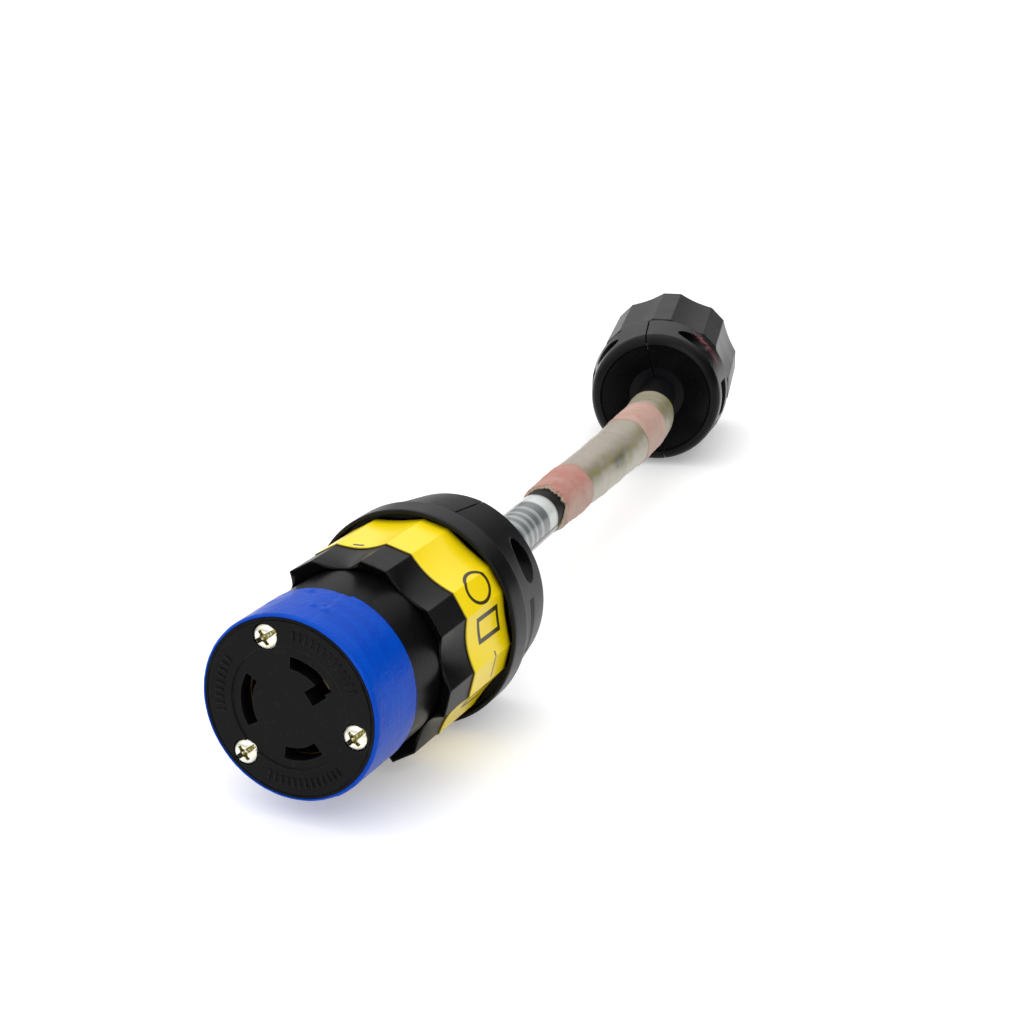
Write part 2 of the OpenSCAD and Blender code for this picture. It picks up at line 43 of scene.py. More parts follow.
# Places and sizes in millimetres, most of them from the CAD source. A station is a distance back
# from a mating face. Angles are in degrees, counterclockwise from the right, facing it.
CONNECTOR_AT = Vector((16.8, -183.1, 27.8))
CONNECTOR_BACK = (0.0, 1.0, 0.0)
PLUG_REAR_AT = Vector((-5.6, 102.3, 24.092))
PLUG_SLOPE = 0.27
PLUG_LENGTH = 63
PLUG_WAY = Vector((-PLUG_SLOPE, 1, 0)).normalized()
PLUG_AT = PLUG_REAR_AT + PLUG_LENGTH * PLUG_WAY
PLUG_SIDE = Vector((-1, -PLUG_SLOPE, 0)).normalized()
PLUG_BACK = tuple(-PLUG_WAY)

NECK_R = 21.8
FACE_DEPTH = 33
NECK_FOLD_R = 0.9  # rounding of its front edge, over which the tape folds
NECK_MM_A_DEGREE = 0.38
TAPE_REAR = 17.7
LANDS = 8
LAND_SPAN = 15
GRIP_LAND_ANGLE = 31
GRIP_R = 25.5
GRIP_BORE_R = NECK_R + 0.1
GRIP_CHAMBER_R = 20.4
GRIP_FRONT = 28.6
GRIP_REAR = 63
FLUTE_FRONT = 2.6
FLUTE_REAR = 0.4
FLUTE_TAPER = 2.5  # power by which the flutes get shallower to the rear
UNDERCUT = 2.9
LIP_R = 17.0
LIP_FRONT = 58
COLLAR_FRONT = 58.7
COLLAR_WALL = 1
CLAMP_FRONT = 66
CLAMP_REAR = 84
CLAMP_R = 27.8
LABEL_FRONT = 41
LABEL_REAR = 61
LABEL_GAP = 0.03  # between the grip and its label
WRAP = 0.3  # height of the tape and of the yellow label
SECOND_LAYER = 0.16  # of the tape
FACE_SCREW_SEAT = 1.5

PLUG_R = 24.3
PLUG_FLUTE = 0.5
PLUG_SOCKET_R = 21.4
PLUG_BLOCK = 12
PLUG_CHAMBER_R = 20.0
PLUG_LIP_R = 14.5
PLUG_LIP_FRONT = 38
PLUG_CLAMP_FRONT = 45
PLUG_SCREW_SEAT = 2.5
SCREW_HEAD = 2.4  # height
SCREW_SHANK_R = 1.75
SCREW_TIP_R = 1.1

CORD_R = 6.15
SLEEVE_FRONT_R = 7.1
SLEEVE_REAR_R = 8.1
ROUTE = [Vector(p) for p in (
    (16.8, -118.8, 27.8), (16.8, -108.8, 27.8), (16.7, -98.8, 27.8), (16.2, -87.9, 27.7),
    (15.2, -75.9, 27.5), (13.7, -62, 27.1), (12.4, -49.1, 26.7), (11.3, -36.7, 26.4),
    (10.7, -29.6, 26.2), (9.9, -19.2, 26), (9.1, -8, 25.8), (8.4, 3.8, 25.5), (7.6, 16.7, 25.3),
    (6.6, 30.7, 25), (5.6, 45.2, 24.9), (4.6, 55.6, 24.8), (3.4, 66.3, 24.7), (2, 74.5, 24.4),
    (-0.1, 83.6, 24.3), (-2.9, 92.5, 24.1), (-5.6, 102.3, 24.1), (-8.3, 112.3, 24.1),
    (-11, 122.5, 24.1))]
# Points of the route where the label, the sleeve and the two bands start and end
LABEL_ENDS = (2, 7)
SLEEVE_ENDS = (8, 18)
FRONT_BAND_ENDS = (8, 10)
REAR_BAND_ENDS = (14, 16)

# How a ring of screws or bars turns to stand in a mating face
CONNECTOR_STAND = (radians(90), 0.0, 0.0)
PLUG_STAND = (radians(90), 0.0, radians(180) + atan(PLUG_SLOPE))

# Colours, as amounts of red, green and blue light
NYLON_BLACK = (0.005, 0.005, 0.0055)
DUST = (0.07, 0.068, 0.064)
RUBBED_EDGE = (0.045, 0.044, 0.042)
SCUFF_PINK = (0.3, 0.08, 0.085)
# Painted shadow at one end of a screw's slot
SLOT_SHADOW = (0.02, 0.018, 0.012)
TAPE_BLUES = (0.0002, 0.053, 0.44), (0.0004, 0.074, 0.53)
LABEL_YELLOWS = (0.93, 0.68, 0.002), (0.97, 0.76, 0.006)
LABEL_INK = (0.012, 0.011, 0.01)
LABEL_EDGE_SHADE = (0.1, 0.075, 0.01)
FILM_WHITES = (0.6, 0.63, 0.61), (0.48, 0.5, 0.49)
FILM_GREY = (0.27, 0.29, 0.292)
BAND_DARK = (0.1, 0.11, 0.112)
BAND_PALE = (0.42, 0.44, 0.45)
LAP_GREY = (0.26, 0.26, 0.265)
LAP_EDGE = (0.04, 0.04, 0.045)
SLEEVE_GREIGES = (0.37, 0.3, 0.255), (0.29, 0.265, 0.2)
SLEEVE_PALE = (0.44, 0.41, 0.31)
SLEEVE_REAR = (0.29, 0.265, 0.165)
STAIN_OLIVE = (0.14, 0.135, 0.08)
STAIN_YELLOW = (0.24, 0.22, 0.015)
STAIN_DARK = (0.045, 0.05, 0.04)
SLEEVE_SPECK = (0.17, 0.16, 0.12)
TORN_PAPERS = (0.52, 0.43, 0.31), (0.3, 0.23, 0.15)
FRONT_PINKS = (0.45, 0.185, 0.15), (0.5, 0.34, 0.28)
REAR_PINKS = (0.48, 0.275, 0.22), (0.52, 0.37, 0.31)
FLOOR_GREY = (0.84, 0.84, 0.84)


def on_connector(r, angle, station):
    """A point in metres, from a radius, an angle and a station of the connector."""
    a = radians(angle)
    return (CONNECTOR_AT + Vector((r * cos(a), station, r * sin(a)))) * MM


def on_plug(r, angle, station):
    """A point in metres, from a radius, an angle and a station of the plug."""
    a = radians(angle)
    up = Vector((0, 0, r * sin(a)))
    return (PLUG_AT + r * cos(a) * PLUG_SIDE + up - station * PLUG_WAY) * MM


def clip(value):
    return min(max(value, 0.0), 1.0)


def cloud(x, y, z):
    """Smooth noise at a point, from -1 to 1."""
    return noise.noise(Vector((x, y, z)))


def add_object(name, data):
    obj = bpy.data.objects.new(name, data)
    bpy.context.scene.collection.objects.link(obj)
    return obj


def aim_camera():
    data = bpy.data.cameras.new("camera")
    data.sensor_width = 36
    data.lens = 70.3
    camera = add_object("camera", data)
    camera.location = (0.22794, -0.5268, 0.2080)
    camera.rotation_euler = (radians(90 - 18.6), 0, radians(24.6))
    bpy.context.scene.camera = camera


# Node building

class Num:
    """A number socket in a node tree, on which sums are written as in plain code."""

    def __init__(self, tree, socket):
        self.tree = tree
        self.socket = socket

    def math(self, operation, *others):
        node = self.tree.nodes.new("ShaderNodeMath")
        node.operation = operation
        for i, value in enumerate((self, *others)):
            fill(self.tree, node.inputs[i], value)
        return Num(self.tree, node.outputs[0])

    def __add__(self, other):
        return self.math("ADD", other)

    def __sub__(self, other):
        return self.math("SUBTRACT", other)

    def __mul__(self, other):
        return self.math("MULTIPLY", other)

    def __truediv__(self, other):
        return self.math("DIVIDE", other)

    def __rsub__(self, other):
        return (self * -1) + other

    def clamped(self):
        return self.math("MINIMUM", 1.0).math("MAXIMUM", 0.0)

    def between(self, low, high, soft):
        """1 between two values and 0 outside, with soft edges."""
        rise = ((self - low) / soft + 0.5).clamped()
        fall = ((high - self) / soft + 0.5).clamped()
        return rise * fall

    def ramp(self, low, high):
        """0 below low, 1 above high."""
        return ((self - low) / (high - low)).clamped()


def fill(tree, socket, value):
    """Links a node's first output, a socket or a number to an input, or writes a value there."""
    if isinstance(value, bpy.types.Node):
        value = value.outputs[0]
    if isinstance(value, Num):
        value = value.socket
    if isinstance(value, bpy.types.NodeSocket):
        tree.links.new(value, socket)
    elif socket.type == "RGBA":
        socket.default_value = (*value, 1)
    else:
        socket.default_value = value


class Builder:
    """Adds nodes to a tree. An input is given by its name, with _ for a space."""

    def __init__(self, tree):
        self.tree = tree

    def node(self, kind, operation=None, **inputs):
        node = self.tree.nodes.new(kind)
        if operation:
            node.operation = operation
        for name, value in inputs.items():
            fill(self.tree, node.inputs[name.replace("_", " ")], value)
        return node

    def parts(self, vector):
        """The three numbers of a vector."""
        split = self.node("ShaderNodeSeparateXYZ", Vector=vector)
        return [Num(self.tree, output) for output in split.outputs]


class Finish(Builder):
    """A material under construction, with the few textures that every finish is mixed from."""

    def __init__(self, name):
        self.material = bpy.data.materials.new(name)
        self.material.use_nodes = True
        super().__init__(self.material.node_tree)
        self.shader = self.tree.nodes["Principled BSDF"]
        self.where = self.node("ShaderNodeTexCoord").outputs["Object"]

    def noise(self, scale, detail, stretch=None):
        """Soft cloudy texture on object coordinates; scale is features to the metre."""
        where = self.where
        if stretch:
            where = self.node("ShaderNodeMapping", Vector=where, Scale=stretch)
        node = self.node("ShaderNodeTexNoise", Vector=where, Scale=scale, Detail=detail)
        return Num(self.tree, node.outputs["Fac"])

    def uv(self):
        """Turns round the piece and length along it, from the piece's own map."""
        return self.parts(self.node("ShaderNodeUVMap"))[:2]

    def own(self, name):
        """A value that the mesh keeps for each of its points."""
        node = self.node("ShaderNodeAttribute")
        node.attribute_name = name
        return Num(self.tree, node.outputs["Fac"])

    def mix(self, amount, first, second):
        node = self.node("ShaderNodeMix")
        node.data_type = "RGBA"
        for index, value in ((0, amount), (6, first), (7, second)):
            fill(self.tree, node.inputs[index], value)
        return node.outputs[2]

    def rounded_normal(self, radius):
        """The surface's direction, as if its edges were rounded by a radius in millimetres."""
        bevel = self.node("ShaderNodeBevel", Radius=radius * MM)
        bevel.samples = 4
        return bevel

    def rubbed(self):
        """1 at edges and 0 on faces: how far the rounded direction leans from the true one."""
        dot = self.node("ShaderNodeVectorMath", "DOT_PRODUCT", Vector=self.rounded_normal(0.4))
        true = self.node("ShaderNodeNewGeometry").outputs["Normal"]
        fill(self.tree, dot.inputs[1], true)
        return ((1.0 - Num(self.tree, dot.outputs["Value"])) * 3.0).clamped()

    def relief(self, height, depth, rounded=0.0):
        """Bump of a depth in millimetres, over edges rounded in shading by that radius."""
        bump = self.node("ShaderNodeBump", Strength=1.0, Distance=depth * MM, Height=height)
        if rounded:
            fill(self.tree, bump.inputs["Normal"], self.rounded_normal(rounded))
        self.set(Normal=bump)

    def set(self, **inputs):
        for name, value in inputs.items():
            fill(self.tree, self.shader.inputs[name.replace("_", " ")], value)
        return self.material


# Finishes

def toned(tone, share):
    return tuple(c * share for c in tone)


def layered(f, colour, *coats):
    """A colour under coats, each given by its amount and its own colour."""
    for amount, coat in coats:
        colour = f.mix(amount, colour, coat)
    return colour


def moulded_plastic(name, tone, roughness, gloss=0.15, smear=None):
    """Black moulded plastic: fine grain, greasy patches, a little dust and rubbed edges."""
    f = Finish(name)
    patches = f.noise(70, 4)
    edges = f.rubbed()
    body = f.mix(patches.ramp(0.35, 0.75), toned(tone, 0.7), toned(tone, 1.3))
    colour = layered(f, body, (f.noise(900, 3).ramp(0.62, 0.8) * 0.12, DUST),
                     (edges * f.noise(260, 3).ramp(0.3, 0.65) * 0.7, RUBBED_EDGE))
    if smear:
        colour = smear(f, colour)
    f.relief(f.noise(2600, 3) + f.noise(420, 2) * 0.6, 0.04, rounded=0.3)
    return f.set(Base_Color=colour, Roughness=patches * 0.2 + (roughness - 0.1),
                 Specular_IOR_Level=gloss)


def scuffed_nylon():
    """The plug's clamp: as the other clamp, glossier, with a band of faint pinkish scuffs."""
    def smear(f, colour):
        x, y, z = (n / MM - c for n, c in zip(f.parts(f.where), PLUG_AT))
        across = x * PLUG_SIDE.x + y * PLUG_SIDE.y
        angle = z.math("ARCTAN2", across) * (180 / pi)
        station = (x * PLUG_WAY.x + y * PLUG_WAY.y) * -1
        reach = (across * across + z * z).math("SQRT")
        # The band runs slightly aslant, and only on the outer surface
        middle = (angle - 123.5) * 0.104 + 49.5
        band = (station - middle).between(-1.9, 1.9, 1.2) * angle.between(121, 152, 6)
        rubbed = f.noise(850, 4).ramp(0.4, 0.64)
        return f.mix(band * reach.ramp(22.6, 23.2) * rubbed * 0.7, colour, SCUFF_PINK)
    return moulded_plastic("plug_clamp_nylon", NYLON_BLACK, 0.26, gloss=0.11, smear=smear)


def plated_metal(name, tone, roughness, tarnish, deep=None):
    """Bright plating with tarnished patches. The recess of a screw takes the deep tone as painted
    shade, and one end of its slot takes a dark painted shadow."""
    f = Finish(name)
    patches = f.noise(500, 4)
    colour = f.mix(patches.ramp(0.4, 0.8), tone, tarnish)
    if deep:
        recess_shade = f.own("recess_shade")
        recess = f.mix(f.noise(1500, 2).ramp(0.52, 0.72), deep, tone)
        # Painted shade darkens the recess, and a painted shadow fills one end of the slot
        colour = layered(f, colour, (recess_shade.ramp(0.1, 0.45), recess),
                         (recess_shade.ramp(0.6, 0.9), SLOT_SHADOW))
    f.relief(f.noise(4200, 2), 0.02, rounded=0.2)
    return f.set(Base_Color=colour, Roughness=patches * 0.25 + (roughness - 0.12), Metallic=1.0)


def insulation(name, tone):
    """The coloured cover of a lead, slightly clouded."""
    f = Finish(name)
    colour = f.mix(f.noise(200, 3), toned(tone, 0.8), tone)
    f.relief(f.noise(1500, 2), 0.03)
    return f.set(Base_Color=colour, Roughness=f.noise(300, 2) * 0.2 + 0.3)


def rubber(name, tone):
    """Matt rubber with paler scuffs."""
    f = Finish(name)
    scuffs = f.noise(120, 5)
    colour = f.mix(scuffs.ramp(0.45, 0.8), tone, toned(tone, 2.2))
    f.relief(f.noise(1800, 3), 0.06)
    return f.set(Base_Color=colour, Roughness=scuffs * 0.2 + 0.4, Specular_IOR_Level=0.12)


def vinyl_tape():
    """Saturated blue vinyl, finely textured, with a faint leather grain and stretched streaks."""
    f = Finish("blue_vinyl")
    cells = f.node("ShaderNodeTexVoronoi", Vector=f.where, Scale=1500.0)
    grain = Num(f.tree, cells.outputs["Distance"])
    streaks = f.noise(60, 4, stretch=(1, 6, 1))
    colour = f.mix(streaks.ramp(0.3, 0.75), *TAPE_BLUES)
    f.relief(grain * 0.5 + f.noise(700, 3) + f.noise(110, 2) * 2.0, 0.08)
    return f.set(Base_Color=colour, Roughness=streaks * 0.12 + 0.24, Specular_IOR_Level=0.08)


# Plain dark shapes on the label. A bar, or a gap in one, is given by its lowest and highest angle
# and its front and rear station, and the ring by its middle and its two radii.
LABEL_BARS = ((4.5, 19.5, 46.2, 57.2), (-19.7, -3.6, 52.1, 52.7), (-41, -27, 47.5, 56.5),
              (99, 106, 42.2, 43.1))
LABEL_GAPS = ((7.2, 16.8, 47.4, 56.0), (-38.6, -29.4, 48.6, 55.4))
RING_ANGLE, RING_STATION = 33.5, 51.6
RING_INNER, RING_OUTER = 4.5, 5.6
RING_SQUEEZE = 1.7
LABEL_MM_A_DEGREE = 0.449


def laminated_label():
    """Yellow laminate with plain dark marks, thin dark edges of painted shade and fine handling
    marks.
    """
    f = Finish("label_laminate")
    turn, along = f.uv()
    clouds = f.noise(50, 4)
    body = f.mix(clouds.ramp(0.3, 0.8), *LABEL_YELLOWS)
    # Painted shade: a thin dark line along the label's front and rear ends
    rim = 1.0 - along.between(LABEL_FRONT + 0.25, LABEL_REAR - 0.25, 0.15)
    colour = layered(f, body, (label_marks(turn * 360.0, along) * 0.97, LABEL_INK),
                     (rim * 0.7, LABEL_EDGE_SHADE))
    f.relief(f.noise(240, 3) + f.noise(1600, 2) * 0.2, 0.08)
    return f.set(Base_Color=colour, Roughness=clouds * 0.16 + 0.22, Specular_IOR_Level=0.45)


def label_marks(degrees, along):
    """1 where the label is dark, from the angle round the grip and the station."""
    signed = degrees - degrees.math("GREATER_THAN", 180.0) * 360.0

    def bar(low, high, front, rear):
        return signed.between(low, high, 0.3) * along.between(front, rear, 0.13)

    across = (signed - RING_ANGLE) * LABEL_MM_A_DEGREE
    back = along - RING_STATION
    reach = (across * across * RING_SQUEEZE + back * back).math("SQRT")
    marks = reach.between(RING_INNER, RING_OUTER, 0.15)
    for place in LABEL_BARS:
        marks = marks + bar(*place)
    for place in LABEL_GAPS:
        marks = marks - bar(*place)
    return marks.clamped()


# Where the cord label's bands start, from its front end, and how wide they are
DARK_BANDS = ((3, 2.2), (7.5, 1.2), (10.5, 3), (15.4, 1.8), (19.5, 2.8), (24.6, 2.2), (29, 1.2),
              (31.8, 2.6), (37.2, 2.2), (41.7, 1.8), (45.4, 2.8), (50.6, 4.6))
PALE_BANDS = ((6.4, 0.6), (14.2, 0.7), (23.4, 0.6), (35.6, 0.7), (40.2, 0.6), (44.4, 0.6),
              (49.4, 0.7))
# Front and rear of the label's grey field, and the angle where its lap ends
GREY_FIELD = (1, 55.6)
LAP_END = 343


def cord_label_film():
    """White film with a grey field and plain bands, lapped along its lower right."""
    f = Finish("cord_label_film")
    turn, along = f.uv()
    along = along - CORD.stretch(LABEL_ENDS)[0]
    smudge = f.noise(130, 4)

    def bands(places):
        total = 0.0
        for start, width in places:
            total = along.between(start, start + width, 0.3) + total
        return total.clamped()

    colour = layered(
        f, f.mix(smudge.ramp(0.4, 0.8), *FILM_WHITES),
        (along.between(*GREY_FIELD, 0.8), FILM_GREY),
        (bands(DARK_BANDS) * (smudge * 0.3 + 0.65), BAND_DARK),
        (bands(PALE_BANDS) * 0.7, BAND_PALE),
        (turn.between(300 / 360, LAP_END / 360, 0.006) * 0.85, LAP_GREY),
        (turn.between((LAP_END - 1) / 360, (LAP_END + 3) / 360, 0.004) * 0.85, LAP_EDGE))
    f.relief(f.noise(350, 2), 0.05)
    return f.set(Base_Color=colour, Roughness=smudge * 0.12 + 0.16)


def sleeve_film(end):
    """Greige film over a stained lining: olive and dark streaks on the right, paler below them.
    end is where the sleeve ends, along the cord."""
    f = Finish("sleeve_film")
    turn, along = f.uv()
    clouds = f.noise(55, 4)
    specks = f.noise(240, 4)
    smears = f.noise(130, 4, stretch=(1, 0.35, 1))
    right = turn + turn.math("LESS_THAN", 0.5) + (clouds - 0.5) * 0.12
    stain = right.between(1.01, 1.15, 0.07) * (smears.ramp(0.36, 0.58) * 0.75 + 0.25)
    colour = layered(
        f, f.mix(clouds.ramp(0.3, 0.75), *SLEEVE_GREIGES),
        (right.between(0.86, 1.03, 0.08) * 0.7, SLEEVE_PALE),
        (along.ramp(end - 18, end - 12) * 0.8, SLEEVE_REAR),
        (stain * 0.75, STAIN_OLIVE),
        (stain * specks.ramp(0.46, 0.6) * 0.85, STAIN_YELLOW),
        (stain * smears.ramp(0.54, 0.64) * 0.75, STAIN_DARK),
        (f.noise(1100, 3).ramp(0.5, 0.75) * 0.35, SLEEVE_SPECK))
    f.relief(f.noise(900, 2) * 0.4 + clouds, 0.1)
    return f.set(Base_Color=colour, Roughness=clouds * 0.2 + 0.3, Coat_Weight=0.2,
                 Coat_Roughness=0.25)


def torn_paper():
    """The torn lining under the sleeve."""
    f = Finish("torn_lining_paper")
    colour = f.mix(f.noise(400, 4), *TORN_PAPERS)
    f.relief(f.noise(1500, 4), 0.2)
    return f.set(Base_Color=colour, Roughness=0.8)


def cloth_tape(name, tone, worn):
    """Faded cloth tape: fine threads, worn patches, paler down its right side."""
    f = Finish(name)
    turn, _ = f.uv()
    patches = f.noise(110, 5)
    threads = f.noise(1300, 2, stretch=(1, 3, 1))
    side = (turn + turn.math("LESS_THAN", 0.5)).between(0.84, 1.06, 0.1)
    body = f.mix((patches.ramp(0.35, 0.7) * 0.7 + side * 0.6).clamped(), tone, worn)
    redder = (tone[0] * 1.1, tone[1] * 0.7, tone[2] * 0.6)
    colour = layered(f, body, (f.noise(300, 3).ramp(0.58, 0.75) * 0.6, redder),
                     (threads.ramp(0.45, 0.8) * 0.3, toned(tone, 0.6)))
    f.relief(threads + patches * 0.5, 0.12)
    return f.set(Base_Color=colour, Roughness=0.62)


# Mesh building

def piece(name, mesh, material=None):
    """A finished piece that rides on the object's one body."""
    obj = add_object(name, mesh)
    if material:
        mesh.materials.append(material)
    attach(obj, "root")
    return obj


def loft(name, rings, marks, turns=None):
    """A closed surface through rings of points. marks give the rings' places in the map, and turns
    the points' places round it. It has flat ends unless the last ring is the first one."""
    n = len(rings[0])
    turns = turns or [i / n for i in range(n + 1)]
    closed = rings[0] is rings[-1]
    stack = rings[:-1] if closed else rings
    faces, spots = [], []
    for j in range(len(rings) - 1):
        k = (j + 1) % len(stack)
        near, far = marks[j], marks[j + 1]
        for i in range(n):
            h = (i + 1) % n
            faces.append((j * n + i, j * n + h, k * n + h, k * n + i))
            left, right = turns[i], turns[i + 1]
            spots += (left, near, right, near, right, far, left, far)
    if not closed:
        last = len(stack) * n - n
        for corners, mark in ((range(n - 1, -1, -1), marks[0]), (range(last, last + n), marks[-1])):
            faces.append(tuple(corners))
            for i in corners:
                spots += (turns[i % n], mark)
    mesh = bpy.data.meshes.new(name)
    mesh.from_pydata([tuple(p) for ring in stack for p in ring], [], faces)
    mesh.uv_layers.new(name="UVMap").data.foreach_set("uv", spots)
    mesh.shade_smooth()
    face_outwards(mesh)
    return mesh


def face_outwards(mesh):
    work = bmesh.new()
    work.from_mesh(mesh)
    bmesh.ops.recalc_face_normals(work, faces=work.faces)
    work.to_mesh(mesh)
    work.free()


# Shapes that follow a rule, by Geometry Nodes

class Rule(Builder):
    """A geometry tree under construction, with named inputs."""

    def __init__(self, name):
        super().__init__(bpy.data.node_groups.new(name, "GeometryNodeTree"))
        self.sockets = {}
        for side in ("INPUT", "OUTPUT"):
            self.tree.interface.new_socket(
                "Geometry", in_out=side, socket_type="NodeSocketGeometry")
        self.source = self.node("NodeGroupInput")
        self.end = self.node("NodeGroupOutput")

    def add(self, name, kind="NodeSocketFloat"):
        """A new input of the tree."""
        socket = self.tree.interface.new_socket(name, in_out="INPUT", socket_type=kind)
        self.sockets[name] = socket.identifier
        return self.source.outputs[name]

    def sizes(self, *names):
        """New inputs that are numbers."""
        return [Num(self.tree, self.add(name)) for name in names]

    def attribute(self, name, kind="FLOAT"):
        """A value that the base mesh keeps for each of its points."""
        node = self.node("GeometryNodeInputNamedAttribute", Name=name)
        node.data_type = kind
        return node.outputs["Attribute"]

    def number(self, name):
        return Num(self.tree, self.attribute(name))

    def along(self, vector, amount):
        """A vector times a number."""
        return self.node("ShaderNodeVectorMath", "SCALE", Vector=vector, Scale=amount)

    def end_with(self, geometry):
        """Ends the tree in a plain mesh with the finish that it is given."""
        realized = self.node("GeometryNodeRealizeInstances", Geometry=geometry)
        finish = self.add("Finish", "NodeSocketMaterial")
        made = self.node("GeometryNodeSetMaterial", Geometry=realized, Material=finish)
        fill(self.tree, self.end.inputs[0], made)
        return self


def grown(name, mesh, rule, finish, slot, **sizes):
    """The plain mesh that a rule makes of a base mesh, as a finished piece."""
    source = add_object(name + "_base", mesh)
    modifier = source.modifiers.new("rule", "NODES")
    modifier.node_group = rule.tree
    modifier[rule.sockets["Finish"]] = finish
    for key, value in sizes.items():
        value = float(value) if isinstance(value, int) else value
        modifier[rule.sockets[key.replace("_", " ")]] = value
    graph = bpy.context.evaluated_depsgraph_get()
    made = bpy.data.meshes.new_from_object(source.evaluated_get(graph), depsgraph=graph)
    made.name = name
    source.modifiers.remove(modifier)
    bpy.data.objects.remove(source)
    return piece(name, made)


# Fluted shells

def fluted_rule():
    """Draws a plain turned shell in to flat lands and scooped flutes."""
    rule = Rule("fluted_shell")
    lands, span, middle, radius, neck, undercut, deep, shallow, front, rear, wrinkle = rule.sizes(
        "Lands", "Land span", "Land angle", "Radius", "Neck", "Undercut", "Flute front",
        "Flute rear", "Front", "Rear", "Wrinkle")
    back = rule.add("Back", "NodeSocketVector")
    unit = lands.math("POWER", -1.0) * 360.0
    flute = unit - span
    # Three whole turns keep the angle from the first land's edge above zero
    spot = (rule.number("angle") - middle + span * 0.5 + 3 * 360.0).math("MODULO", unit)
    on_land = spot.math("LESS_THAN", span)
    ahead = (rear - rule.number("station")).math("MAXIMUM", 0.0) / (rear - front)
    depth = shallow + (deep - shallow) * ahead.math("POWER", FLUTE_TAPER)

    def chord(where, width):
        """The share of the radius that a flat across that width leaves."""
        half = width * 0.5
        return half.math("RADIANS").math("COSINE") / (where - half).math("RADIANS").math("COSINE")

    scoop = 1.0 - (((spot - span) * 2.0) / flute - 1.0).math("POWER", 2.0)
    land_r = radius * chord(spot, span)
    flute_r = radius * chord(spot - span, flute) - depth * scoop
    drawn = radius - (on_land * land_r + (1.0 - on_land) * flute_r)
    inset = drawn * rule.number("carve")
    cloudy = rule.node("ShaderNodeTexNoise", Scale=260.0, Detail=2.0).outputs["Fac"]
    ripple_out = (Num(rule.tree, cloudy) - 0.5) * wrinkle
    lean = rule.number("lean") * inset * undercut / (radius - neck)
    move = rule.node("ShaderNodeVectorMath", "ADD", Vector=rule.along(back, lean * MM))
    outward = rule.attribute("outward", "FLOAT_VECTOR")
    fill(rule.tree, move.inputs[1], rule.along(outward, (ripple_out - inset) * MM))
    return rule.end_with(rule.node("GeometryNodeSetPosition", Geometry=rule.source, Offset=move))


def turned(name, profile, angles, place):
    """A closed turned shell. profile is a loop of (station, radius, carve, lean), where carve and
    lean say how much of a flute's depth and of the front's slope a point takes."""
    rings = [[place(radius, a, station) for a in angles] for station, radius, _, _ in profile]
    turns = [a / 360 for a in (*angles, angles[0] + 360)]
    marks = [point[0] for point in (*profile, profile[0])]
    mesh = loft(name, [*rings, rings[0]], marks, turns)
    points = [(*point, a) for point in profile for a in angles]
    for key, column in (("station", 0), ("carve", 2), ("lean", 3), ("angle", 4)):
        values = [point[column] for point in points]
        mesh.attributes.new(key, "FLOAT", "POINT").data.foreach_set("value", values)
    out = [(place(2, a, 0) - place(1, a, 0)).normalized() for a in angles]
    vectors = mesh.attributes.new("outward", "FLOAT_VECTOR", "POINT")
    vectors.data.foreach_set("vector", [c for _ in profile for v in out for c in v])
    return mesh


def land_columns(middle):
    """Angles of the columns round a fluted shell, closer at the edges of the lands."""
    unit = 360 / LANDS
    flute = unit - LAND_SPAN
    offsets = [-0.45, 0, 0.45, 2.5, LAND_SPAN / 2, LAND_SPAN - 2.5, LAND_SPAN - 0.45, LAND_SPAN,
               LAND_SPAN + 0.45]
    offsets += [LAND_SPAN + flute * t
                for t in (0.06, 0.14, 0.24, 0.34, 0.44, 0.56, 0.66, 0.76, 0.86, 0.94)]
    start = middle - LAND_SPAN / 2
    return sorted((start + i * unit + o) % 360 for i in range(LANDS) for o in offsets)


def rounded(corner, before, after, size):
    """Four points that round a corner of a profile; all are (station, radius)."""
    def towards(point):
        reach = hypot(point[0] - corner[0], point[1] - corner[1])
        return tuple(c + (p - c) * size / reach for c, p in zip(corner, point))

    a, b = towards(before), towards(after)
    return [tuple((1 - t) ** 2 * u + 2 * t * (1 - t) * c + t * t * v
                  for u, c, v in zip(a, corner, b)) for t in (0, 1 / 3, 2 / 3, 1)]


def plain(points):
    """Profile points that the flutes leave alone, from pairs of station and radius."""
    return [(s, r, 0.0, 0.0) for s, r in points]


